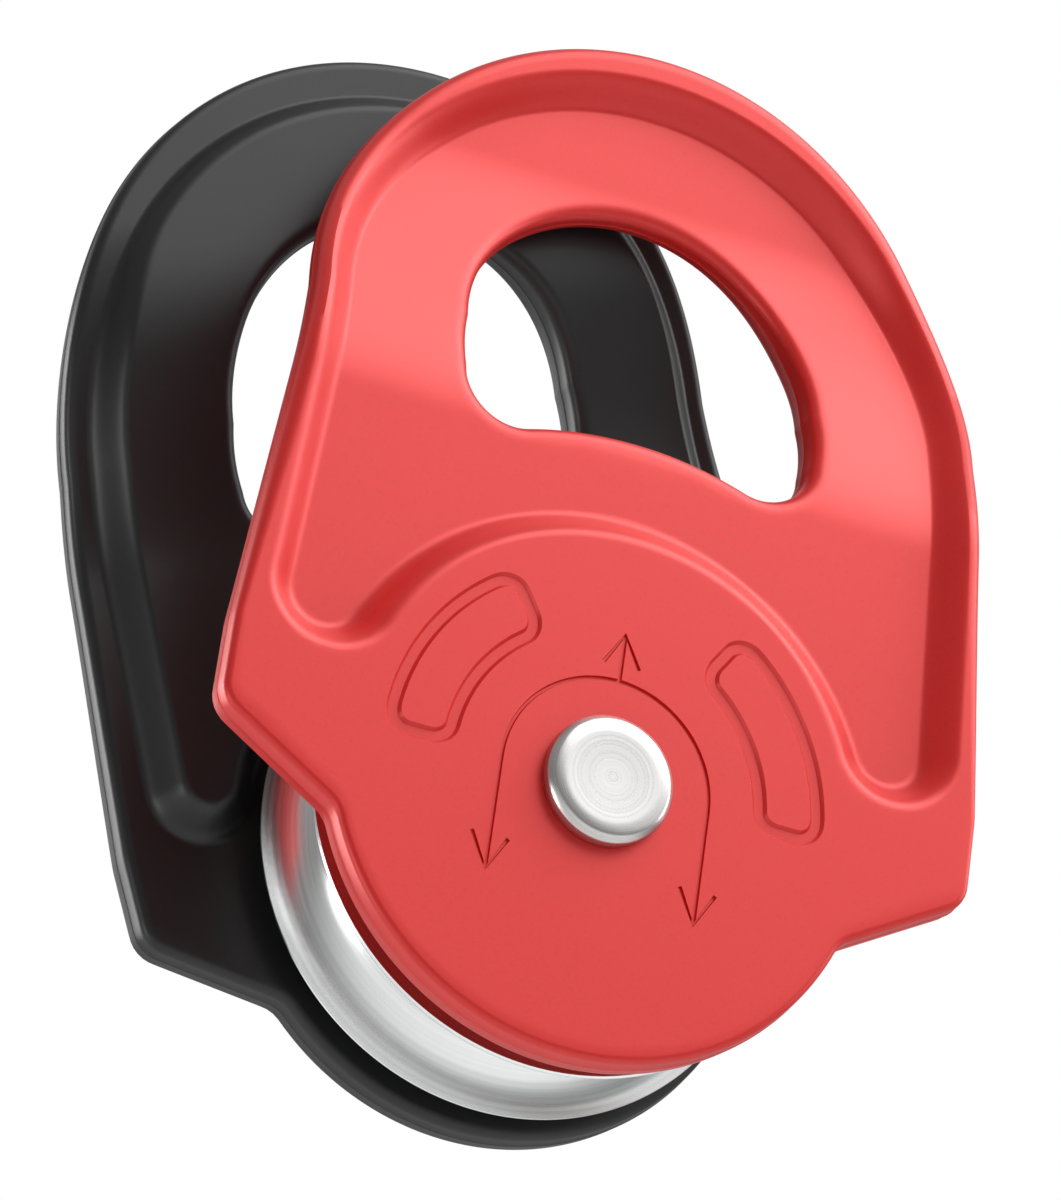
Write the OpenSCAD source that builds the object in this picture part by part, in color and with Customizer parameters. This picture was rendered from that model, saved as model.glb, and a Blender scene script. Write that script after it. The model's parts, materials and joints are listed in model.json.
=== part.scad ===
// Swing-cheek rope pulley, in millimetres.
// The sheave turns about the Y axis, and the origin is on that axis at the middle of the rope groove.
// The front side plate faces -Y and its eye is towards +Z. The rear side plate is the same forging,
// turned to face +Y and swung open about the axle.

/* [Rope groove] */
// Radius from the axle's axis to the bottom of the groove
tread_r = 19; // [18.5:0.5:19.5]
// Radius of the round rope groove
groove_r = 6.9; // [6.5:0.1:7]
// Half of the sheave's width across its rims
sheave_half_w = 7.3; // [7.2:0.1:7.8]
// Radius of the sheave's rims
sheave_rim_r = 26; // [25.5:0.25:26.5]

/* [Side plates] */
// Distance from the groove's middle plane to a plate's outer face
plate_face_y = 15.3; // [15.2:0.1:15.6]
// Thickness of the rim and the disc of a plate
plate_t = 4.5; // [4:0.25:4.5]
// Radius of the disc round the axle
disc_r = 27; // [26.5:0.5:27.5]
// Half of a plate's width at its shoulders
shoulder_x = 37.7; // [37:0.1:38.5]
// Height of a plate's top above the axle's axis
head_top_z = 82.1; // [81:0.5:84]
// Half of the head's width where its round top begins
head_half_w = 34.6; // [34:0.2:35.4]
// Height at which the round top begins
head_base_z = 44; // [43:0.5:45]
// Angle by which the rear plate is swung open
swing_angle = 24; // [0:0.5:90]

/* [Bend and recess] */
// Height at which a plate begins to bend towards the middle
bend_low_z = 34; // [32:0.5:35]
// Height at which the bend is complete
bend_high_z = 67; // [66:0.5:70]
// How far the bend moves the top of a plate towards the middle
bend_depth = 8.6; // [8:0.1:8.8]
// Depth of the recess round the eye on the outer face
recess_depth = 2.8; // [2.2:0.1:2.8]
// Wall that is left in the recess, but for the head, where the middle gap makes it thinner
recess_wall = 5.4; // [5:0.1:5.4]
// Distance from the groove's middle plane to the flat inner face of the head
mid_gap = 0.4; // [0.3:0.1:0.6]

/* [Eye] */
// Radius of the eye's round top
eye_r = 17.9; // [17.4:0.1:18]
// Height of the centre of that round top
eye_z = 46.3; // [45.5:0.1:46.5]
// Radius of the eye's two lower corners
eye_corner_r = 5.1; // [4.5:0.1:5.5]
// Radius, about the axle, of the eye's floor
eye_floor_r = 36.95; // [36.5:0.05:37.4]

/* [Axle] */
// Radius of the axle's shank
shank_r = 5; // [4.98:0.01:5]
// Radius of the axle's heads
head_r = 6.3; // [6:0.1:7]
// How far a head stands above its plate
head_proud = 1.8; // [1.4:0.1:2.2]
// Width of the chamfer round a head
head_chamfer = 0.65; // [0.3:0.05:0.8]

/* [Ball bearings] */
// Outer radius of a bearing
bearing_r = 13; // [12.9:0.1:13]
// Width of a bearing
bearing_w = 8; // [7.9:0.1:8]
// Radius of the circle of ball centres
pitch_r = 9; // [8.95:0.05:9.05]
// Radius of a ball
ball_r = 2.381; // [2.35:0.001:2.4]
// Number of balls in a bearing
ball_count = 7; // [6:1:8]

/* [Hidden] */
$fn = 96;

// Outline of a plate: the corner at each shoulder, and the edge that rises from the disc to it
corner_r = 3.4;
corner_z = 0;
edge_angle = 30.8;
edge_fillet_r = 3;
corner_x = shoulder_x - corner_r;
edge_dir = [cos(edge_angle), sin(edge_angle)];
edge_normal = [sin(edge_angle), -cos(edge_angle)];
edge_end = [corner_x, corner_z] + corner_r * edge_normal;
// The fillet's centre is fillet_slide along the edge, where the fillet also touches the disc
fillet_line = edge_end + edge_fillet_r * edge_normal;
fillet_half_b = fillet_line * edge_dir;
fillet_c = fillet_line * fillet_line - pow(disc_r + edge_fillet_r, 2);
fillet_slide = -fillet_half_b + sqrt(pow(fillet_half_b, 2) - fillet_c);
fillet_centre = fillet_line + fillet_slide * edge_dir;
fillet_angle = atan2(fillet_centre[1], fillet_centre[0]);
disc_steps = 14;
corner_steps = 6;
head_steps = 18;

// Outline of the recess: an ellipse over straight sides, with two round tips beside the disc
recess_half_w = 30.2;
recess_rise = 31.7;
recess_side_x = 31.9;
recess_floor_r = 28;
tip_r = 3.2;
tip_x = recess_side_x - tip_r;
tip_z = sqrt(pow(recess_floor_r + tip_r, 2) - pow(tip_x, 2));
tip_angle = atan2(tip_z, tip_x);

// Eye: the centres of its lower corners
eye_corner_x = eye_r - eye_corner_r;
eye_corner_z = sqrt(pow(eye_floor_r + eye_corner_r, 2) - pow(eye_corner_x, 2));
eye_corner_angle = atan2(eye_corner_z, eye_corner_x);

// Side profile of a plate
bend_steps = 20;
profile_low_z = -40;
profile_high_z = 100;
past = 40;

// Axle line: everything that lies along it, from the middle outwards
plate_inner_y = plate_face_y - plate_t;
shoulder_half_w = 0.6;
bearing_out_y = shoulder_half_w + bearing_w;
bearing_mid_y = shoulder_half_w + bearing_w / 2;
hub_half_w = bearing_out_y + 0.1;
hub_r = 15.5;
hub_shoulder_r = 11.9;
spacer_t = 1;
spacer_r = 6.6;
washer_r = 9.5;
end_play = 0.1;
shank_fit = 0.06;
shank_end_y = plate_face_y + end_play + head_proud;

// Bearing sections
race_r = ball_r + 0.07;
inner_land_r = pitch_r - 1.9;
outer_land_r = pitch_r + 1.9;
seal_t = 0.6;
seal_set_in = 0.1;
seal_seat_r = outer_land_r + 0.7;
seal_lip_r = inner_land_r + 0.08;
seal_low = bearing_w / 2 - seal_set_in - seal_t;
cage_half_t = 0.75;
cage_half_w = 2.85;
pocket_r = ball_r + 0.1;

// Points of an arc of radius r about a centre, from angle a0 to angle a1
function arc(centre, r, a0, a1, steps) = [
    for (i = [0 : steps])
        let (a = a0 + (a1 - a0) * i / steps)
            centre + r * [cos(a), sin(a)]
];

// Points of the upper right quarter of an ellipse, from its right end to its top
function quarter_ellipse(centre_z, a, b, steps) =
    [for (i = [0 : steps]) [a * cos(90 * i / steps), centre_z + b * sin(90 * i / steps)]];

// How far a plate has moved towards the middle at height z: none, then a smooth S, then all of it
function bend_share(z) = max(0, min(1, (z - bend_low_z) / (bend_high_z - bend_low_z)));
function bend_at(z) = bend_depth * pow(bend_share(z), 2) * (3 - 2 * bend_share(z));

// Heights at which the side profile has a point
function profile_heights() = concat(
    [profile_low_z],
    [for (i = [0 : bend_steps]) bend_low_z + (bend_high_z - bend_low_z) * i / bend_steps],
    [profile_high_z]
);

// A shape drawn in X and Z, made a bar along the sheave's axis from low_y to high_y
module bar(low_y, high_y) {
    translate([0, high_y, 0])
        rotate([90, 0, 0])
            linear_extrude(height = high_y - low_y)
                children();
}

// A ring about the sheave's axis
module ring(low_y, high_y, r_in, r_out) {
    bar(low_y, high_y)
        difference() {
            circle(r = r_out);
            circle(r = r_in);
        }
}

// A shape and its mirror image on the other side of the groove's middle plane
module both_ways() {
    children();
    mirror([0, 1, 0])
        children();
}

// A section drawn with X as the radius and Y as the place along the axis, spun about that axis
module spun() {
    rotate([-90, 0, 0])
        rotate_extrude()
            children();
}

// Right half of a plate's outline, from the disc's lowest point up to the head's top
function plate_half() = concat(
    arc([0, 0], disc_r, -90, fillet_angle, disc_steps),
    arc(fillet_centre, edge_fillet_r, fillet_angle + 180, edge_angle + 90, corner_steps),
    arc([corner_x, corner_z], corner_r, edge_angle - 90, 0, corner_steps),
    [[shoulder_x, corner_z + 2 * corner_r]],
    quarter_ellipse(head_base_z, head_half_w, head_top_z - head_base_z, head_steps)
);

// Right half of the recess's outline, from the middle of its floor round a tip to its top
function recess_half() = concat(
    arc([0, 0], recess_floor_r, 90, tip_angle, disc_steps),
    arc([tip_x, tip_z], tip_r, tip_angle + 180, 360, corner_steps),
    quarter_ellipse(head_base_z, recess_half_w, recess_rise, head_steps)
);

// Right half of the eye's outline, from the middle of its floor to its top
function eye_half() = concat(
    arc([0, 0], eye_floor_r, 90, eye_corner_angle, corner_steps),
    arc([eye_corner_x, eye_corner_z], eye_corner_r, eye_corner_angle + 180, 360, corner_steps),
    arc([0, eye_z], eye_r, 0, 90, head_steps)
);

// An outline from its right half, whose first and last points are on the middle line
module both_halves(half) {
    polygon(concat(half, [for (i = [len(half) - 2 : -1 : 1]) [-half[i][0], half[i][1]]]));
}

// All that lies more than depth behind the front plate's outer face, following the bend.
// With a side of -1 it is all that lies in front of that depth.
module behind(depth, side = 1) {
    rotate([90, 0, 90])
        linear_extrude(height = 4 * past, center = true)
            polygon(concat(
                [for (z = profile_heights()) [-plate_face_y + depth + bend_at(z), z]],
                [[side * past, profile_high_z], [side * past, profile_low_z]]
            ));
}

// All that lies nearer the groove's middle plane than the middle gap, or beyond that plane
module past_mid_gap() {
    translate([-2 * past, -mid_gap, profile_low_z])
        cube([4 * past, 2 * past, profile_high_z - profile_low_z]);
}

// The front plate: the full section between its outermost faces, less the recess on the outer
// face, less what the rim and the disc don't fill on the inner face, less the eye and the bore
module side_plate() {
    difference() {
        bar(-past, past)
            difference() {
                both_halves(plate_half());
                both_halves(eye_half());
            }
        behind(0, -1);
        behind(recess_depth + recess_wall);
        past_mid_gap();
        intersection() {
            behind(recess_depth, -1);
            bar(-past, past)
                both_halves(recess_half());
        }
        difference() {
            behind(plate_t);
            bar(-past, past)
                both_halves(recess_half());
        }
        bar(-past, past)
            circle(r = shank_r + shank_fit);
    }
}

module front_side_plate() {
    color([0.80, 0.10, 0.08])
        side_plate();
}

module rear_side_plate() {
    color([0.10, 0.10, 0.11])
        rotate([0, -swing_angle, 0])
            mirror([0, 1, 0])
                side_plate();
}

// Plain washer on which a plate swings, between the plate and the axle spacer
module thrust_washer() {
    color([0.85, 0.83, 0.76])
        ring(-plate_inner_y, -bearing_out_y - spacer_t, shank_r + shank_fit, washer_r);
}

module front_thrust_washer() {
    thrust_washer();
}

module rear_thrust_washer() {
    mirror([0, 1, 0])
        thrust_washer();
}

// Ring that presses on a bearing's inner ring only, so that the seal and the outer ring run free
module axle_spacer() {
    color([0.62, 0.63, 0.65])
        ring(-bearing_out_y - spacer_t, -bearing_out_y, shank_r, spacer_r);
}

module front_axle_spacer() {
    axle_spacer();
}

module rear_axle_spacer() {
    mirror([0, 1, 0])
        axle_spacer();
}

// Half section of an axle head, from a given inner radius outwards
module head_section(r_in) {
    face_y = -shank_end_y;
    polygon([
        [r_in, face_y], [head_r - head_chamfer, face_y], [head_r, face_y + head_chamfer],
        [head_r, -plate_face_y - end_play], [r_in, -plate_face_y - end_play]
    ]);
}

// Axle: one turned piece, its front head solid with the shank
module axle_pin() {
    color([0.72, 0.72, 0.74]) {
        bar(-shank_end_y + head_chamfer, shank_end_y)
            circle(r = shank_r);
        spun()
            head_section(0);
    }
}

// Rear head: a collar pressed over the end of the shank once the pulley is assembled
module rear_axle_head() {
    color([0.72, 0.72, 0.74])
        mirror([0, 1, 0])
            spun()
                head_section(shank_r);
}

module sheave() {
    color([0.80, 0.81, 0.83])
        difference() {
            union() {
                bar(-sheave_half_w, sheave_half_w)
                    circle(r = sheave_rim_r);
                bar(-hub_half_w, hub_half_w)
                    circle(r = hub_r);
            }
            spun()
                translate([tread_r + groove_r, 0])
                    circle(r = groove_r);
            bar(-past, past)
                circle(r = hub_shoulder_r);
            both_ways()
                bar(shoulder_half_w, past)
                    circle(r = bearing_r);
        }
}

// Sleeve that keeps the two inner rings the right distance apart
module inner_ring_spacer() {
    color([0.62, 0.63, 0.65])
        ring(-shoulder_half_w, shoulder_half_w, shank_r, spacer_r);
}

// The ball race, cut from a ring
module race() {
    spun()
        translate([pitch_r, 0])
            circle(r = race_r);
}

module outer_ring() {
    color([0.66, 0.67, 0.70])
        difference() {
            ring(-bearing_w / 2, bearing_w / 2, outer_land_r, bearing_r);
            race();
            both_ways()
                bar(seal_low, past)
                    circle(r = seal_seat_r);
        }
}

module inner_ring() {
    color([0.66, 0.67, 0.70])
        difference() {
            ring(-bearing_w / 2, bearing_w / 2, shank_r, inner_land_r);
            race();
        }
}

// The balls of a bearing, or with a larger radius the pockets that hold them
module ball_circle(r) {
    for (i = [0 : ball_count - 1])
        rotate([0, 360 * i / ball_count, 0])
            translate([0, 0, pitch_r])
                sphere(r = r, $fn = 48);
}

module ball_cage() {
    color([0.75, 0.60, 0.30])
        difference() {
            ring(-cage_half_w, cage_half_w, pitch_r - cage_half_t, pitch_r + cage_half_t);
            ball_circle(pocket_r);
        }
}

module balls() {
    color([0.78, 0.79, 0.81])
        ball_circle(ball_r);
}

// Rubber seal on the side of a bearing that faces -Y
module seal() {
    color([0.12, 0.12, 0.13])
        ring(-seal_low - seal_t, -seal_low, seal_lip_r, seal_seat_r);
}

// Puts a piece drawn about its own middle into the front or the rear bearing
module in_front_bearing() {
    translate([0, -bearing_mid_y, 0])
        children();
}

module in_rear_bearing() {
    mirror([0, 1, 0])
        in_front_bearing()
            children();
}

module front_bearing_outer_ring() {
    in_front_bearing()
        outer_ring();
}

module front_bearing_inner_ring() {
    in_front_bearing()
        inner_ring();
}

module front_bearing_cage() {
    in_front_bearing()
        ball_cage();
}

module front_bearing_balls() {
    in_front_bearing()
        balls();
}

module front_bearing_outboard_seal() {
    in_front_bearing()
        seal();
}

module front_bearing_inboard_seal() {
    in_front_bearing()
        mirror([0, 1, 0])
            seal();
}

module rear_bearing_outer_ring() {
    in_rear_bearing()
        outer_ring();
}

module rear_bearing_inner_ring() {
    in_rear_bearing()
        inner_ring();
}

module rear_bearing_cage() {
    in_rear_bearing()
        ball_cage();
}

module rear_bearing_balls() {
    in_rear_bearing()
        balls();
}

module rear_bearing_outboard_seal() {
    in_rear_bearing()
        seal();
}

module rear_bearing_inboard_seal() {
    in_rear_bearing()
        mirror([0, 1, 0])
            seal();
}

front_side_plate();
rear_side_plate();
front_thrust_washer();
rear_thrust_washer();
front_axle_spacer();
rear_axle_spacer();
axle_pin();
rear_axle_head();
sheave();
inner_ring_spacer();
front_bearing_outer_ring();
front_bearing_inner_ring();
front_bearing_cage();
front_bearing_balls();
front_bearing_outboard_seal();
front_bearing_inboard_seal();
rear_bearing_outer_ring();
rear_bearing_inner_ring();
rear_bearing_cage();
rear_bearing_balls();
rear_bearing_outboard_seal();
rear_bearing_inboard_seal();
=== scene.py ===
# %% [markdown]
# # A swing-cheek rope pulley
#
# The pulley has two forged side plates, a grooved sheave between them and a steel axle through all three.
# The CAD model fixes every size and every joint. This lesson builds the surfaces that the eye judges:
# the smooth forged relief of the plates, the turned metal of the sheave and the axle, and their finishes.
# Sizes below are in millimetres, as on a drawing, and MM turns them into Blender's metres.

# %% The CAD frame
import json
import math

import bpy
import numpy as np
from mathutils import Matrix, Vector


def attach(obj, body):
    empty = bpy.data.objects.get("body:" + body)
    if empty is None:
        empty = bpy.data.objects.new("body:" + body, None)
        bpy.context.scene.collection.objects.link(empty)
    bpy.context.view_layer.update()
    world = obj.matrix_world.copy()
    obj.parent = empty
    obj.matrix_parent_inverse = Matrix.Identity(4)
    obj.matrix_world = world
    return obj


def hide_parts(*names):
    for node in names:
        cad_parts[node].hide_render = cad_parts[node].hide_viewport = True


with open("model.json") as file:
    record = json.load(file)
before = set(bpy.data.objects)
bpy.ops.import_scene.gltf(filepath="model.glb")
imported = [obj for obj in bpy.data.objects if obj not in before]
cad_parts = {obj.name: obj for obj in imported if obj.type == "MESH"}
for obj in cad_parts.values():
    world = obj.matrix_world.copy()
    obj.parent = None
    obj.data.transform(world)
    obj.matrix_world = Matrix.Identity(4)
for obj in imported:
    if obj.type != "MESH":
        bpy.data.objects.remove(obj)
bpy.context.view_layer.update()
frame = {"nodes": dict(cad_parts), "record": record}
MM = 0.001

# %% [markdown]
# ## The camera
#
# The pulley is seen from the left and from below, and it leans a little to the right. A long lens keeps
# the plates' outlines nearly parallel, which is usual for a small product. The camera is placed
# by its position and its three axes, which is simpler than an aim point when the view also rolls.

# %% Camera
CAMERA_PLACE = (-165.5, -482.2, -208.6)
RIGHT = Vector((0.9197, -0.3700, 0.1317))
DOWN = Vector((0.2672, 0.3438, -0.9002))
LENS = 174.2
SENSOR = 36.0

forward = RIGHT.cross(DOWN).normalized()
down = forward.cross(RIGHT).normalized()
right = down.cross(forward).normalized()
bpy.ops.object.camera_add()
camera = bpy.context.object
camera.name = "camera"
camera.matrix_world = Matrix.Translation(Vector(CAMERA_PLACE) * MM) @ Matrix(
    (right, -down, -forward)).transposed().to_4x4()
camera.data.sensor_fit = "AUTO"
camera.data.sensor_width = SENSOR
camera.data.lens = LENS
camera.data.clip_start = 0.01
camera.data.clip_end = 20
bpy.context.scene.camera = camera
print("camera looks along", [round(v, 3) for v in forward])

# %% [markdown]
# ## Plate outlines
#
# A plate's outline is a round foot about the axle, two shoulders with small corners, and a head like half
# an ellipse. The recess and the eye have outlines of their own. Each is written as arcs for the right half
# and mirrored, so that both sides match exactly.

# %% Outlines as arcs
FOOT_R = 27.0
SHOULDER_X = 37.7
CORNER_R = 3.4
EDGE_ANGLE = 30.8
FILLET_R = 3.0
HEAD_BASE_Z = 44.0
HEAD_HALF_W = 34.6
HEAD_TOP_Z = 82.1


def arc(centre, radius, start, end, steps=60):
    turn = np.radians(np.linspace(start, end, steps + 1))
    return np.column_stack((centre[0] + radius * np.cos(turn), centre[1] + radius * np.sin(turn)))


def quarter_ellipse(centre_z, half_w, rise, steps=120):
    turn = np.linspace(0, math.pi / 2, steps + 1)
    return np.column_stack((half_w * np.cos(turn), centre_z + rise * np.sin(turn)))


def closed(half):
    """Both halves of an outline, from its right half."""
    return np.vstack((half, half[-2:0:-1] * (-1, 1)))


def plate_outline():
    corner = np.array((SHOULDER_X - CORNER_R, 0.0))
    lean = math.radians(EDGE_ANGLE)
    along = np.array((math.cos(lean), math.sin(lean)))
    out = np.array((math.sin(lean), -math.cos(lean)))
    line = corner + (CORNER_R + FILLET_R) * out
    half_b = line @ along
    slide = -half_b + math.sqrt(half_b ** 2 - line @ line + (FOOT_R + FILLET_R) ** 2)
    fillet = line + slide * along
    fillet_turn = math.degrees(math.atan2(fillet[1], fillet[0]))
    return closed(np.vstack((
        arc((0, 0), FOOT_R, -90, fillet_turn),
        arc(fillet, FILLET_R, fillet_turn + 180, EDGE_ANGLE + 90),
        arc(corner, CORNER_R, EDGE_ANGLE - 90, 0),
        [(SHOULDER_X, 2 * CORNER_R)],
        quarter_ellipse(HEAD_BASE_Z, HEAD_HALF_W, HEAD_TOP_Z - HEAD_BASE_Z))))


RECESS_FLOOR_R = 28.0
RECESS_SIDE_X = 31.9
RECESS_HEAD_HALF_W, RECESS_HEAD_RISE = 30.2, 31.7
TIP_R = 3.2


def recess_outline():
    tip_x = RECESS_SIDE_X - TIP_R
    tip_z = math.sqrt((RECESS_FLOOR_R + TIP_R) ** 2 - tip_x ** 2)
    turn = math.degrees(math.atan2(tip_z, tip_x))
    return closed(np.vstack((
        arc((0, 0), RECESS_FLOOR_R, 90, turn),
        arc((tip_x, tip_z), TIP_R, turn + 180, 360),
        quarter_ellipse(HEAD_BASE_Z, RECESS_HEAD_HALF_W, RECESS_HEAD_RISE))))


EYE_R = 17.9
EYE_Z = 46.3
EYE_CORNER_R = 5.1
EYE_FLOOR_R = 36.95


def eye_outline():
    corner_x = EYE_R - EYE_CORNER_R
    corner_z = math.sqrt((EYE_FLOOR_R + EYE_CORNER_R) ** 2 - corner_x ** 2)
    turn = math.degrees(math.atan2(corner_z, corner_x))
    return closed(np.vstack((
        arc((0, 0), EYE_FLOOR_R, 90, turn),
        arc((corner_x, corner_z), EYE_CORNER_R, turn + 180, 360),
        arc((0, EYE_Z), EYE_R, 0, 90))))


PLATE, RECESS, EYE = plate_outline(), recess_outline(), eye_outline()
print("outline points:", len(PLATE), len(RECESS), len(EYE))

# %% [markdown]
# ## The forged relief
#
# A forging has no sharp steps. The head of the plate bends towards the other plate in a smooth S, and the
# recess round the eye sinks into the outer face while the same metal swells out of the inner face. Near the
# top the inner face is flat, where the two plates lie side by side once the pulley is closed. All of these
# are a depth that depends only on where a point lies, so the surface can be made as a fine net of quads
# whose depth is worked out point by point. Cutting and bevelling a block by hand can't give such a blend,
# so this is the one piece that is made from a net and not from a primitive.

# %% Depth of the faces
OUTER_Y = -15.3
PLATE_T = 4.5
BEND_LOW_Z, BEND_HIGH_Z, BEND_DEPTH = 34.0, 67.0, 8.6
RECESS_DEPTH, RECESS_WALL = 2.8, 5.4
MID_GAP, GAP_BLEND = 0.4, 1.6
OUTER_SLOPE_W, OUTER_SLOPE_LEAN = 3.4, 0.92
INNER_SLOPE_START, INNER_SLOPE_W = -0.9, 3.2


def smooth(share):
    share = np.clip(share, 0, 1)
    return share * share * (3 - 2 * share)


def bend(z):
    return BEND_DEPTH * smooth((z - BEND_LOW_Z) / (BEND_HIGH_Z - BEND_LOW_Z))


def inside(points, outline):
    """Which points lie inside a closed outline."""
    hits = np.zeros(len(points), int)
    for (x0, z0), (x1, z1) in zip(outline, np.roll(outline, -1, axis=0)):
        if z0 == z1:
            continue
        crosses = (z0 > points[:, 1]) != (z1 > points[:, 1])
        hits += crosses & (points[:, 0] < x0 + (points[:, 1] - z0) * (x1 - x0) / (z1 - z0))
    return hits % 2 == 1


def outside_distance(points, outline):
    """Distance to an outline: positive outside it, negative inside."""
    nearest = np.full(len(points), 1e9)
    for a, b in zip(outline, np.roll(outline, -1, axis=0)):
        step = b - a
        share = np.clip((points - a) @ step / max(step @ step, 1e-12), 0, 1)
        nearest = np.minimum(nearest, np.hypot(*(points - a - share[:, None] * step).T))
    return np.where(inside(points, outline), -nearest, nearest)


def outer_face(points):
    """The outer face: bent with the head, and sunk inside the recess."""
    beyond = outside_distance(points, RECESS)
    sunk = 1 - smooth(np.clip(beyond / OUTER_SLOPE_W, 0, 1) ** OUTER_SLOPE_LEAN)
    return OUTER_Y + bend(points[:, 1]) + RECESS_DEPTH * sunk


def inner_face(points):
    """The inner face, which levels out smoothly where it nears the middle plane."""
    beyond = outside_distance(points, RECESS)
    swell = RECESS_DEPTH + RECESS_WALL - PLATE_T
    swollen = 1 - smooth((beyond - INNER_SLOPE_START) / INNER_SLOPE_W)
    face = OUTER_Y + PLATE_T + bend(points[:, 1]) + swell * swollen
    near = np.clip(1 - np.abs(face + MID_GAP) / GAP_BLEND, 0, None)
    return np.minimum(face, -MID_GAP) - near ** 2 * GAP_BLEND / 4


# %% [markdown]
# The net is made of closed rings. They start on the outer face at the plate's edge, go inwards to the eye,
# pass through the eye to the inner face, and go back out round the edge, so the surface closes on itself
# like a very flat doughnut. Rings lie close together where an edge is rounded and on the recess's slope,
# where the surface turns fastest. Both walls have the fine raised seam that the halves of a forging die
# leave.

# %% Rings of the net
SPOKES = 440
FACE_RINGS = 72
SLOPE_SAMPLES, SLOPE_CROWDING = 120, 2.5
NET_CENTRE = np.array((0.0, 49.0))
ROUND_STEPS = 5
FOOT_ROUND, HEAD_ROUND, INNER_ROUND = 0.7, 1.5, 1.0
ROUND_GROWS_FROM_Z, ROUND_GROWS_OVER = 4, 30
EYE_OUTER_ROUND, EYE_INNER_ROUND = 1.4, 1.2
SEAM_H, SEAM_HALF_W, WALL_DRAFT = 0.10, 0.22, 0.12


def evenly(outline, count):
    """Points at equal steps along a closed outline."""
    loop = np.vstack((outline, outline[:1]))
    run = np.concatenate(([0], np.cumsum(np.hypot(*np.diff(loop, axis=0).T))))
    at = np.linspace(0, run[-1], count, endpoint=False)
    return np.column_stack((np.interp(at, run, loop[:, 0]), np.interp(at, run, loop[:, 1])))


def at_bearings(outline, bearings):
    """Where rays from the net's centre meet an outline."""
    rays = np.arctan2(outline[:, 1] - NET_CENTRE[1], outline[:, 0] - NET_CENTRE[0])
    reach = np.hypot(*(outline - NET_CENTRE).T)
    order = np.argsort(rays)
    far = np.interp(bearings, rays[order], reach[order], period=2 * math.pi)
    return NET_CENTRE + far[:, None] * np.column_stack((np.cos(bearings), np.sin(bearings)))


def outward(loop):
    """Unit normals of a closed loop that runs counter-clockwise."""
    step = np.roll(loop, -1, axis=0) - np.roll(loop, 1, axis=0)
    normal = np.column_stack((step[:, 1], -step[:, 0]))
    return normal / np.hypot(*normal.T)[:, None]


def wall_rings(loop, into_metal, outer_round, inner_round):
    """Rings from the outer face over a rounded edge, down a wall and over the other rounded edge."""
    outer_y, inner_y = outer_face(loop), inner_face(loop)
    rings = []

    def add(inset, drop=None, rise=None):
        points = loop + into_metal * np.broadcast_to(inset, len(loop))[:, None]
        y = outer_face(points) + drop if drop is not None else inner_face(points) - rise
        rings.append(np.column_stack((points[:, 0], y, points[:, 1])))

    for i in range(ROUND_STEPS + 1):
        turn = math.pi / 2 * i / ROUND_STEPS
        add(WALL_DRAFT + outer_round * (1 - math.sin(turn)), drop=outer_round * (1 - math.cos(turn)))
    low, high = outer_y + outer_round, inner_y - inner_round
    middle = (low + high) / 2
    for offset, inset in ((-SEAM_HALF_W, SEAM_H), (0, 0), (SEAM_HALF_W, SEAM_H)):
        points = loop + into_metal * inset
        rings.append(np.column_stack((points[:, 0], middle + offset, points[:, 1])))
    for i in range(ROUND_STEPS, -1, -1):
        turn = math.pi / 2 * i / ROUND_STEPS
        add(WALL_DRAFT + inner_round * (1 - math.sin(turn)), rise=inner_round * (1 - math.cos(turn)))
    return rings


def ring_shares(start, end):
    """How far along each spoke its points lie, closer together on the recess's slope."""
    even = np.linspace(0, 1, SLOPE_SAMPLES)
    crowd = []
    for share in even:
        off_slope = outside_distance(start * (1 - share) + end * share, RECESS) - OUTER_SLOPE_W / 2
        crowd.append(1 + SLOPE_CROWDING * np.exp(-(off_slope / OUTER_SLOPE_W) ** 2))
    run = np.cumsum(crowd, axis=0)
    run = (run - run[0]) / (run[-1] - run[0])
    wanted = np.linspace(0, 1, FACE_RINGS + 2)[1:-1]
    return np.array([np.interp(wanted, spoke, even) for spoke in run.T]).T


def face_rings(ring_a, ring_b, face):
    """Rings across a face, between two rings that are already on it."""
    start, end = ring_a[:, (0, 2)], ring_b[:, (0, 2)]
    rings = []
    for share in ring_shares(start, end):
        points = start * (1 - share[:, None]) + end * share[:, None]
        rings.append(np.column_stack((points[:, 0], face(points), points[:, 1])))
    return rings


def plate_net():
    edge = evenly(PLATE, SPOKES)
    bearings = np.arctan2(edge[:, 1] - NET_CENTRE[1], edge[:, 0] - NET_CENTRE[0])
    eye = at_bearings(EYE, bearings)
    grown = smooth((edge[:, 1] - ROUND_GROWS_FROM_Z) / ROUND_GROWS_OVER)
    outer_round = FOOT_ROUND + (HEAD_ROUND - FOOT_ROUND) * grown
    edge_wall = wall_rings(edge, -outward(edge), outer_round, INNER_ROUND)
    eye_wall = wall_rings(eye, outward(eye), EYE_OUTER_ROUND, EYE_INNER_ROUND)
    rings = face_rings(edge_wall[0], eye_wall[0], outer_face)
    rings = edge_wall[:1] + rings + eye_wall
    rings += face_rings(eye_wall[-1], edge_wall[-1], inner_face) + edge_wall[:0:-1]
    return np.array(rings)


net = plate_net()
print("rings and spokes:", net.shape[:2], "lowest and highest y:", net[..., 1].min(), net[..., 1].max())


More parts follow.
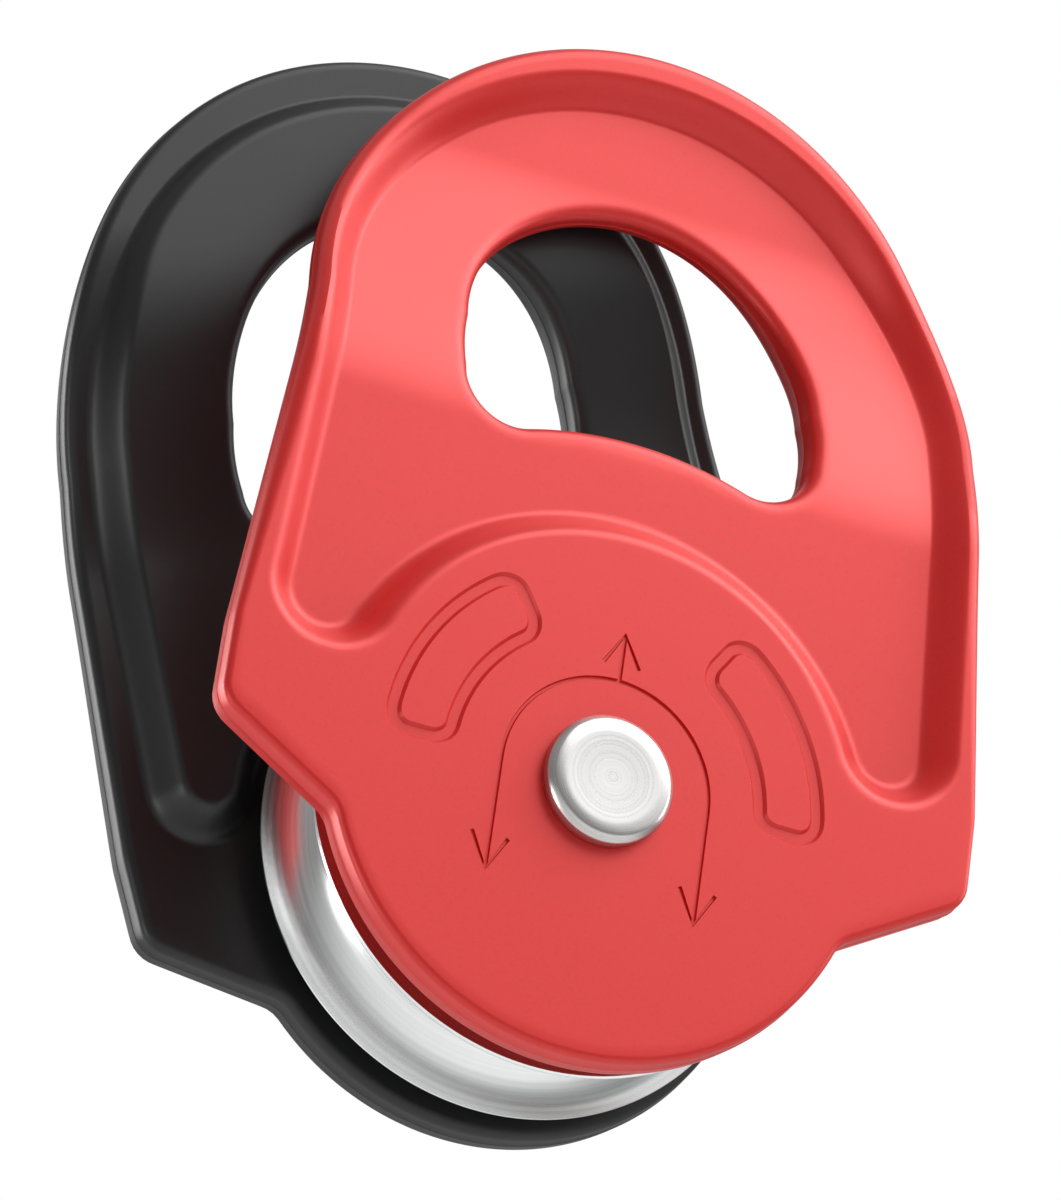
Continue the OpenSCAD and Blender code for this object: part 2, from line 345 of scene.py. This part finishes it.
# %% From net to mesh
def net_mesh(name, rings):
    """A closed quad mesh from a closed list of closed rings."""
    count, spokes = rings.shape[:2]
    first = np.arange(count * spokes).reshape(count, spokes)
    beside = np.roll(first, -1, axis=1)
    faces = np.stack((first, np.roll(first, -1, axis=0), np.roll(beside, -1, axis=0), beside), axis=-1)
    mesh = bpy.data.meshes.new(name)
    mesh.from_pydata((rings.reshape(-1, 3) * MM).tolist(), [], faces.reshape(-1, 4).tolist())
    mesh.update()
    made = bpy.data.objects.new(name, mesh)
    bpy.context.scene.collection.objects.link(made)
    return made


def choose(target):
    """Makes one object the only selected and the active one."""
    bpy.ops.object.select_all(action="DESELECT")
    target.select_set(True)
    bpy.context.view_layer.objects.active = target


def face_outwards(target):
    choose(target)
    bpy.ops.object.mode_set(mode="EDIT")
    bpy.ops.mesh.select_all(action="SELECT")
    bpy.ops.mesh.normals_make_consistent(inside=False)
    bpy.ops.object.mode_set(mode="OBJECT")


front_plate = net_mesh("front_plate_forging", net)
face_outwards(front_plate)
print("plate net has", len(front_plate.data.polygons), "quads")

# %% [markdown]
# ## Stamped marks
#
# The disc carries two curved frames and the rope's path as an arched line with arrow heads. They are
# pressed into the metal after forging. Each mark is swept as a small solid along its line, and a Boolean
# modifier takes it out of the plate. The axle's bore is cut last, in the same way.

# %% Mark lines
FRAME_BAND_W, FRAME_DEPTH = 1.5, 0.34
FRAME_LOW_R, FRAME_HIGH_R, FRAME_CORNER_R, FRAME_TURN = 15.6, 21.5, 1.9, 57.5
FRAME_POINTS, CORNER_STEPS = 150, 8
LINE_W, LINE_DEPTH = 0.42, 0.28
FLOOR_HALF_SHARE = 0.3
SWEEP_OVERLAP = 0.5


def swept_groove(name, line, width, depth, is_closed):
    """A bar with a slightly narrower floor, along a line on the outer face, for cutting a groove."""
    line = np.array(line, float)
    if is_closed:
        tangent = np.roll(line, -1, axis=0) - np.roll(line, 1, axis=0)
    else:
        tangent = np.gradient(line, axis=0)
    side = np.column_stack((tangent[:, 1], -tangent[:, 0]))
    side /= np.hypot(*side.T)[:, None]
    right_half = [(FLOOR_HALF_SHARE, depth), (0.5, 0.0), (0.5, -SWEEP_OVERLAP)]
    profile = [(-across, sink) for across, sink in reversed(right_half)] + right_half
    rings = []
    for across, sink in profile:
        points = line + side * width * across
        rings.append(np.column_stack((points[:, 0], np.full(len(points), OUTER_Y + sink), points[:, 1])))
    rings = np.array(rings)
    count, length = rings.shape[:2]
    index = np.arange(count * length).reshape(count, length)
    faces = []
    for i in range(count):
        for j in range(length if is_closed else length - 1):
            k, m = (i + 1) % count, (j + 1) % length
            faces.append((index[i, j], index[k, j], index[k, m], index[i, m]))
    if not is_closed:
        faces += [tuple(index[:, 0]), tuple(index[::-1, -1])]
    mesh = bpy.data.meshes.new(name)
    mesh.from_pydata((rings.reshape(-1, 3) * MM).tolist(), [], faces)
    made = bpy.data.objects.new(name, mesh)
    bpy.context.scene.collection.objects.link(made)
    face_outwards(made)
    return made


def arc_frame(side):
    """Mid-line of one frame beside the axle: a round-cornered rectangle, bent about the axle."""
    middle_r = (FRAME_LOW_R + FRAME_HIGH_R) / 2
    length = math.radians(FRAME_TURN) * middle_r
    tall = FRAME_HIGH_R - FRAME_LOW_R
    r = FRAME_CORNER_R
    corners = (((r, r), 180), ((length - r, r), 270), ((length - r, tall - r), 0), ((r, tall - r), 90))
    flat = evenly(np.vstack([arc(centre, r, start, start + 90, CORNER_STEPS) for centre, start in corners]),
                  FRAME_POINTS)
    turn, reach = flat[:, 0] / middle_r, FRAME_LOW_R + flat[:, 1]
    return np.column_stack((side * reach * np.cos(turn), reach * np.sin(turn)))


# %% Cutting the marks
ARCH_R, LEG_BOTTOM_Z, STEM_TOP_Z = 10.4, -11.2, 15.0
ARROW_HALF_W, ARROW_H, ARROW_OVERRUN = 1.8, 3.2, 0.2
BORE_R, BORE_CUT_LENGTH, BORE_SIDES = 5.06, 80, 96
SMOOTH_ANGLE = 32


def rope_path_marks():
    """Lines of the rope's path: an arch with two legs, a stem on its top, and an arrow head on each end."""
    leg_middle_z = LEG_BOTTOM_Z / 2
    arch = np.vstack(([(ARCH_R, LEG_BOTTOM_Z)], [(ARCH_R, leg_middle_z)], arc((0, 0), ARCH_R, 0, 180, 40),
                      [(-ARCH_R, leg_middle_z)], [(-ARCH_R, LEG_BOTTOM_Z)]))
    marks = [arch]
    for x in (-ARCH_R, ARCH_R):
        marks.append([(x - ARROW_HALF_W, LEG_BOTTOM_Z + ARROW_H), (x, LEG_BOTTOM_Z - ARROW_OVERRUN),
                      (x + ARROW_HALF_W, LEG_BOTTOM_Z + ARROW_H)])
    marks.append([(0, ARCH_R), (0, STEM_TOP_Z)])
    tip_z = STEM_TOP_Z + ARROW_OVERRUN
    marks.append([(-ARROW_HALF_W, tip_z - ARROW_H), (0, tip_z), (ARROW_HALF_W, tip_z - ARROW_H)])
    return marks


def cut(target, tool):
    """Takes the tool's shape out of the target, then removes the tool."""
    choose(target)
    modifier = target.modifiers.new("cut", "BOOLEAN")
    modifier.operation = "DIFFERENCE"
    modifier.object = tool
    modifier.solver = "MANIFOLD"
    bpy.ops.object.modifier_apply(modifier=modifier.name)
    bpy.data.objects.remove(tool)


def cut_bore(target):
    bpy.ops.mesh.primitive_cylinder_add(vertices=BORE_SIDES, radius=BORE_R * MM, depth=BORE_CUT_LENGTH * MM,
                                        rotation=(math.pi / 2, 0, 0))
    tool = bpy.context.object
    choose(tool)
    bpy.ops.object.transform_apply(location=True, rotation=True, scale=True)
    cut(target, tool)


for side in (-1, 1):
    cut(front_plate, swept_groove("frame_tool", arc_frame(side), FRAME_BAND_W, FRAME_DEPTH, True))
for line in rope_path_marks():
    cut(front_plate, swept_groove("line_tool", line, LINE_W, LINE_DEPTH, False))
cut_bore(front_plate)
choose(front_plate)
bpy.ops.object.shade_smooth_by_angle(angle=math.radians(SMOOTH_ANGLE))
print("plate after cutting:", len(front_plate.data.polygons), "faces")

# %% [markdown]
# ## The rear plate
#
# The rear plate is the same forging, turned to face the other way and swung open about the axle. Its copy
# is mirrored through the groove's middle plane, turned about the axle, and its normals are made to point
# outwards again, because a mirror turns a shape inside out.

# %% Rear plate
SWING = math.radians(24)
rear_plate = front_plate.copy()
rear_plate.data = front_plate.data.copy()
rear_plate.name = "rear_plate_forging"
bpy.context.scene.collection.objects.link(rear_plate)
rear_plate.data.transform(Matrix.Rotation(-SWING, 4, "Y") @ Matrix.Scale(-1, 4, (0, 1, 0)))
rear_plate.data.flip_normals()
print("rear plate spans, mm:", [round(v / MM, 1) for v in rear_plate.dimensions])

# %% [markdown]
# ## The sheave
#
# A sheave is turned on a lathe, so it is drawn as half a section and spun about the axle. The groove is a
# round arc, its lips end in thin rounded rims, and the sides step back from the rim to a raised hub. The
# Screw modifier spins the section, as a lathe would.

# %% Turned pieces
TURNS = 192


def turned(name, section, smooth_angle=SMOOTH_ANGLE):
    """A closed section of (radius, y) points, spun about the axle."""
    mesh = bpy.data.meshes.new(name)
    count = len(section)
    edges = [(i, (i + 1) % count) for i in range(count)]
    mesh.from_pydata([(r * MM, y * MM, 0) for r, y in section], edges, [])
    made = bpy.data.objects.new(name, mesh)
    bpy.context.scene.collection.objects.link(made)
    choose(made)
    spin = made.modifiers.new("lathe", "SCREW")
    spin.axis = "Y"
    spin.steps = spin.render_steps = TURNS
    spin.use_merge_vertices = True
    spin.merge_threshold = 1e-7
    bpy.ops.object.modifier_apply(modifier=spin.name)
    face_outwards(made)
    choose(made)
    bpy.ops.object.shade_smooth_by_angle(angle=math.radians(smooth_angle))
    return made


TREAD_R, GROOVE_R, RIM_R, RIM_HALF_W = 19.0, 6.9, 26.0, 7.3
HUB_R, HUB_HALF_W, BEARING_R, SHOULDER_R, SHOULDER_HALF_W = 15.5, 8.7, 13.0, 11.9, 0.6
LIP_ANGLE, LIP_STEP, RIM_LIP, HUB_EDGE = 0.5, 0.02, 0.18, 0.3
HUB_FOOT = ((1.2, 0.0), (0.3, 0.3), (0.0, 0.8))
SHEAVE_SMOOTH_ANGLE = 40


def sheave_section():
    """The groove, then the rear half from rim to bearing shoulder, then the same half mirrored."""
    groove = arc((TREAD_R + GROOVE_R, 0), GROOVE_R, 270 + LIP_ANGLE, 90 - LIP_ANGLE, 48)
    rear = [(RIM_R, GROOVE_R + LIP_STEP + RIM_LIP), (RIM_R - RIM_LIP, RIM_HALF_W)]
    rear += [(HUB_R + out, RIM_HALF_W + up) for out, up in HUB_FOOT]
    rear += [(HUB_R, HUB_HALF_W - HUB_EDGE), (HUB_R - HUB_EDGE, HUB_HALF_W)]
    rear += [(BEARING_R + HUB_EDGE, HUB_HALF_W), (BEARING_R, HUB_HALF_W - HUB_EDGE)]
    rear += [(BEARING_R, SHOULDER_HALF_W), (SHOULDER_R, SHOULDER_HALF_W)]
    front = [(r, -y) for r, y in reversed(rear)]
    return [(r, y) for r, y in groove] + rear + front


sheave = turned("turned_sheave", sheave_section(), SHEAVE_SMOOTH_ANGLE)
print("sheave has", len(sheave.data.polygons), "faces")

# %% [markdown]
# ## The axle
#
# The axle's front head is a flat disc with a chamfer, faced on the lathe. Its edges are softened a little,
# because no turned edge is perfectly sharp and a soft edge catches the light. The rear head is a collar
# round the end of the shank, and the two end flush.

# %% Axle and rear collar
HEAD_GAP, HEAD_R, HEAD_PROUD, HEAD_CHAMFER = 0.1, 6.3, 1.8, 0.65
SHANK_R, SHANK_EDGE = 5.0, 0.25
COLLAR_EDGE, COLLAR_FIT = 0.3, 0.02
UNDER_HEAD_Y = -OUTER_Y + HEAD_GAP
END_Y = UNDER_HEAD_Y + HEAD_PROUD
SOFT = 0.08
FACING = ((0, 0.03), (0.35, 0.03), (3.9, 0.015), (4.4, 0))


def head_profile(sign):
    """From the head's underside round its chamfer to its face."""
    chamfer_y, face_r = END_Y - HEAD_CHAMFER, HEAD_R - HEAD_CHAMFER
    profile = [(HEAD_R - SOFT, UNDER_HEAD_Y), (HEAD_R, UNDER_HEAD_Y + SOFT), (HEAD_R, chamfer_y - SOFT),
               (HEAD_R - SOFT, chamfer_y + SOFT), (face_r + SOFT, END_Y - SOFT), (face_r - SOFT, END_Y)]
    return [(r, sign * y) for r, y in profile]


def axle_section():
    """From the middle of the slightly hollow front face, round the head and along the shank to its end."""
    dished = [(r, deep - END_Y) for r, deep in FACING]
    shank = [(SHANK_R, -UNDER_HEAD_Y), (SHANK_R, END_Y - SHANK_EDGE)]
    shank += [(SHANK_R - SHANK_EDGE, END_Y), (0, END_Y)]
    return dished + head_profile(-1)[::-1] + shank


axle = turned("turned_axle", axle_section())
collar_bore = [(SHANK_R + COLLAR_EDGE, END_Y), (SHANK_R + COLLAR_FIT, END_Y - COLLAR_EDGE),
               (SHANK_R + COLLAR_FIT, UNDER_HEAD_Y)]
collar = turned("riveted_collar", head_profile(1) + collar_bore)
print("axle faces:", len(axle.data.polygons), "collar faces:", len(collar.data.polygons))

# %% [markdown]
# ## Finishes
#
# The plates are anodised aluminium: the colour sits in a thin hard layer, so the metal is satin, its
# highlights are paler than its body colour, and a fine grain from the blasting before anodising shows in
# both. Each finish is a Principled shader with a grain of noise in its colour, roughness and bump.


# %% Finish helpers
def new_finish(name):
    material = bpy.data.materials.new(name)
    material.use_nodes = True
    nodes = material.node_tree.nodes
    shader = next(n for n in nodes if n.type == "BSDF_PRINCIPLED")
    return material, nodes, material.node_tree.links, shader


NOISE_ROUGHNESS = 0.55


def noise(nodes, links, scale, detail):
    """Noise on Object coordinates, at a scale in waves a metre."""
    place = nodes.new("ShaderNodeTexCoord")
    texture = nodes.new("ShaderNodeTexNoise")
    texture.inputs["Scale"].default_value = scale
    texture.inputs["Detail"].default_value = detail
    texture.inputs["Roughness"].default_value = NOISE_ROUGHNESS
    links.new(place.outputs["Object"], texture.inputs["Vector"])
    return texture.outputs["Fac"]


def ramp(nodes, links, source, low, high, low_colour, high_colour):
    made = nodes.new("ShaderNodeValToRGB")
    made.color_ramp.elements[0].position = low
    made.color_ramp.elements[1].position = high
    made.color_ramp.elements[0].color = (*low_colour, 1)
    made.color_ramp.elements[1].color = (*high_colour, 1)
    links.new(source, made.inputs["Fac"])
    return made.outputs["Color"]


def spread(nodes, links, source, low, high):
    made = nodes.new("ShaderNodeMapRange")
    made.inputs["To Min"].default_value = low
    made.inputs["To Max"].default_value = high
    links.new(source, made.inputs["Value"])
    return made.outputs["Result"]


def bump(nodes, links, shader, source, strength, distance):
    made = nodes.new("ShaderNodeBump")
    made.inputs["Strength"].default_value = strength
    made.inputs["Distance"].default_value = distance
    links.new(source, made.inputs["Height"])
    links.new(made.outputs["Normal"], shader.inputs["Normal"])


# %% Anodised plates
BLAST_GRAIN, BLAST_BUMP, BLAST_DEPTH = 2600, 0.12, 0.00004
CLOUD_SCALE, CLOUD_ROUGHNESS = 60, 0.04
COAT_ROUGHNESS = 0.40


def anodised(name, body, fleck, metallic, roughness, coat):
    material, nodes, links, shader = new_finish(name)
    grain = noise(nodes, links, BLAST_GRAIN, 4)
    cloud = noise(nodes, links, CLOUD_SCALE, 2)
    clouded = spread(nodes, links, cloud, roughness - CLOUD_ROUGHNESS, roughness + CLOUD_ROUGHNESS)
    links.new(ramp(nodes, links, grain, 0.30, 0.46, fleck, body), shader.inputs["Base Color"])
    links.new(clouded, shader.inputs["Roughness"])
    shader.inputs["Metallic"].default_value = metallic
    shader.inputs["Coat Weight"].default_value = coat
    shader.inputs["Coat Roughness"].default_value = COAT_ROUGHNESS
    bump(nodes, links, shader, grain, BLAST_BUMP, BLAST_DEPTH)
    return material


RED = anodised("red_anodised", (0.63, 0.010, 0.007), (0.58, 0.009, 0.006), 0.28, 0.42, 0.45)
BLACK = anodised("black_anodised", (0.013, 0.013, 0.014), (0.010, 0.010, 0.011), 0.25, 0.40, 0.05)


# %% Turned metals
DARK_RING_SHARE = 0.86
MARK_DEPTH = 0.00003


def turned_metal(name, colour, roughness, ring_scale, ring_strength):
    """Fine rings about the axle: noise on the distance from it, which is what a lathe tool leaves."""
    material, nodes, links, shader = new_finish(name)
    place = nodes.new("ShaderNodeTexCoord")
    apart = nodes.new("ShaderNodeSeparateXYZ")
    links.new(place.outputs["Object"], apart.inputs["Vector"])
    flat = nodes.new("ShaderNodeCombineXYZ")
    links.new(apart.outputs["X"], flat.inputs["X"])
    links.new(apart.outputs["Z"], flat.inputs["Z"])
    radius = nodes.new("ShaderNodeVectorMath")
    radius.operation = "LENGTH"
    links.new(flat.outputs["Vector"], radius.inputs[0])
    rings_at = nodes.new("ShaderNodeCombineXYZ")
    links.new(radius.outputs["Value"], rings_at.inputs["X"])
    links.new(apart.outputs["Y"], rings_at.inputs["Y"])
    rings = nodes.new("ShaderNodeTexNoise")
    rings.inputs["Scale"].default_value = ring_scale
    rings.inputs["Detail"].default_value = 4
    links.new(rings_at.outputs["Vector"], rings.inputs["Vector"])
    ring = rings.outputs["Fac"]
    darker = tuple(c * DARK_RING_SHARE for c in colour)
    links.new(ramp(nodes, links, ring, 0.35, 0.65, darker, colour), shader.inputs["Base Color"])
    links.new(spread(nodes, links, ring, roughness - 0.06, roughness + 0.08), shader.inputs["Roughness"])
    shader.inputs["Metallic"].default_value = 1.0
    bump(nodes, links, shader, ring, ring_strength, MARK_DEPTH)
    return material


ALUMINIUM = turned_metal("turned_aluminium", (0.84, 0.85, 0.85), 0.24, 2400, 0.08)
STEEL = turned_metal("turned_steel", (0.62, 0.61, 0.60), 0.27, 3600, 0.22)
GROUND = turned_metal("ground_steel", (0.62, 0.63, 0.65), 0.18, 3600, 0.05)
BRASS = turned_metal("cage_brass", (0.72, 0.52, 0.24), 0.30, 2600, 0.10)


# %% Rubber and plastic
def moulded(name, colour, roughness):
    material, nodes, links, shader = new_finish(name)
    grain = noise(nodes, links, 3000, 3)
    paler = tuple(c * 1.25 for c in colour)
    links.new(ramp(nodes, links, grain, 0.35, 0.65, colour, paler), shader.inputs["Base Color"])
    shader.inputs["Roughness"].default_value = roughness
    bump(nodes, links, shader, grain, 0.1, MARK_DEPTH)
    return material


RUBBER = moulded("seal_rubber", (0.020, 0.020, 0.021), 0.55)
PLASTIC = moulded("bearing_plastic", (0.62, 0.59, 0.50), 0.42)
print("finishes:", len(bpy.data.materials))

# %% [markdown]
# ## Putting the pieces on their bodies
#
# Every piece rides on the CAD body that it belongs to, so that a joint carries it. The five detailed pieces
# replace their plain CAD nodes, and the bearings, spacers and washers keep their CAD shape.

# %% Bodies, slots and finishes
NEW_PIECES = (
    (front_plate, "front_plate", "front_side_plate", "red_anodised", RED),
    (rear_plate, "rear_plate", "rear_side_plate", "black_anodised", BLACK),
    (sheave, "sheave", "sheave", "turned_aluminium", ALUMINIUM),
    (axle, "axle", "axle_pin", "turned_steel", STEEL),
    (collar, "axle", "rear_axle_head", "turned_steel", STEEL),
)
for piece, body, node, slot, finish in NEW_PIECES:
    piece.data.materials.clear()
    piece.data.materials.append(finish)
    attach(piece, body)
    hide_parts(node)

SLOT_FINISH = {"bearing_plastic": PLASTIC, "turned_steel": STEEL, "ground_steel": GROUND,
               "cage_brass": BRASS, "seal_rubber": RUBBER, "red_anodised": RED, "black_anodised": BLACK,
               "turned_aluminium": ALUMINIUM}
for row in frame["record"]["subparts"]:
    node = frame["nodes"][row["node"]]
    node.data.materials.clear()
    node.data.materials.append(SLOT_FINISH[row["material_slot"]])
print("dressed", len(frame["nodes"]), "CAD nodes")

# %% [markdown]
# ## Studio
#
# Satin metal is lit by large soft sources, because metal shows what it reflects. The camera looks up at
# the pulley from below, so the pale floor lies far below both. A large softbox hangs
# above, in front and to the right, and a weaker card under it and a small fill carry its light down over
# the flat faces without a hard edge. A card on the right lights the slopes that face it, one behind on the
# left shines into the rope groove, and a narrow strip low on the left draws the fine edges.

# %% Floor
FLOOR_Z, FLOOR_SIZE = -0.42, 6
bpy.ops.mesh.primitive_plane_add(size=FLOOR_SIZE, location=(0, 0, FLOOR_Z))
floor = bpy.context.object
floor.name = "studio_floor"
pale, _, _, pale_shader = new_finish("pale_floor")
pale_shader.inputs["Base Color"].default_value = (0.86, 0.86, 0.86, 1)
pale_shader.inputs["Roughness"].default_value = 0.6
floor.data.materials.append(pale)


# %% Lights
LIT_POINT = Vector((0, 0, 0.03))


def softbox(name, toward, distance, size, power):
    """An area light that faces the pulley from a direction."""
    bpy.ops.object.light_add(type="AREA")
    light = bpy.context.object
    light.name = name
    away = Vector(toward).normalized()
    light.location = LIT_POINT + away * distance
    light.rotation_mode = "QUATERNION"
    light.rotation_quaternion = (-away).to_track_quat("-Z", "Y")
    light.data.shape = "RECTANGLE"
    light.data.size, light.data.size_y = size
    light.data.energy = power
    return light


softbox("main_softbox", (0.30, -0.42, 0.86), 0.9, (1.0, 0.7), 6.2)
softbox("upper_front_card", (0.40, -0.66, 0.64), 0.9, (0.9, 0.5), 2.1)
softbox("front_fill", (0.50, -0.78, 0.38), 0.9, (0.6, 0.6), 0.8)
softbox("right_card", (0.88, -0.20, 0.42), 0.8, (0.4, 0.8), 3.0)
softbox("back_left_card", (-0.66, 0.74, 0.05), 0.9, (0.35, 0.6), 3.6)
softbox("left_strip", (-0.77, -0.2, -0.5), 0.8, (0.12, 0.5), 1.6)


# %% [markdown]
# The world lights the pulley softly, more from above than from below, so that slopes that face down stay
# deep in colour, and most from behind, where the turned groove mirrors it. What the camera sees behind the
# pulley is plain white.

# %% World
GLOW_BELOW, GLOW_ABOVE, GLOW_BEHIND = 0.16, 0.40, 0.50
world = bpy.data.worlds.new("studio")
bpy.context.scene.world = world
world.use_nodes = True
world_nodes, world_links = world.node_tree.nodes, world.node_tree.links
glow = world_nodes["Background"]
direction = world_nodes.new("ShaderNodeTexCoord")
split = world_nodes.new("ShaderNodeSeparateXYZ")
world_links.new(direction.outputs["Generated"], split.inputs["Vector"])


def fade(axis, start, end):
    """A value that changes over a stretch of the direction's part along an axis."""
    made = world_nodes.new("ShaderNodeMapRange")
    made.inputs["From Min"].default_value = start
    made.inputs["From Max"].default_value = end
    world_links.new(split.outputs[axis], made.inputs["Value"])
    return made


rise = fade("Z", -0.4, 0.7)
rise.inputs["To Min"].default_value = GLOW_BELOW
rise.inputs["To Max"].default_value = GLOW_ABOVE
behind = fade("Y", 0.1, 0.6)
behind.inputs["To Max"].default_value = GLOW_BEHIND
world_links.new(rise.outputs["Result"], behind.inputs["To Min"])
world_links.new(behind.outputs["Result"], glow.inputs["Strength"])
glow.inputs["Color"].default_value = (1, 1, 1, 1)
white = world_nodes.new("ShaderNodeBackground")
white.inputs["Color"].default_value = (1, 1, 1, 1)
white.inputs["Strength"].default_value = 1.0
seen = world_nodes.new("ShaderNodeLightPath")
either = world_nodes.new("ShaderNodeMixShader")
world_links.new(seen.outputs["Is Camera Ray"], either.inputs["Fac"])
world_links.new(glow.outputs["Background"], either.inputs[1])
world_links.new(white.outputs["Background"], either.inputs[2])
world_links.new(either.outputs["Shader"], world_nodes["World Output"].inputs["Surface"])
bpy.context.scene.view_settings.view_transform = "Standard"
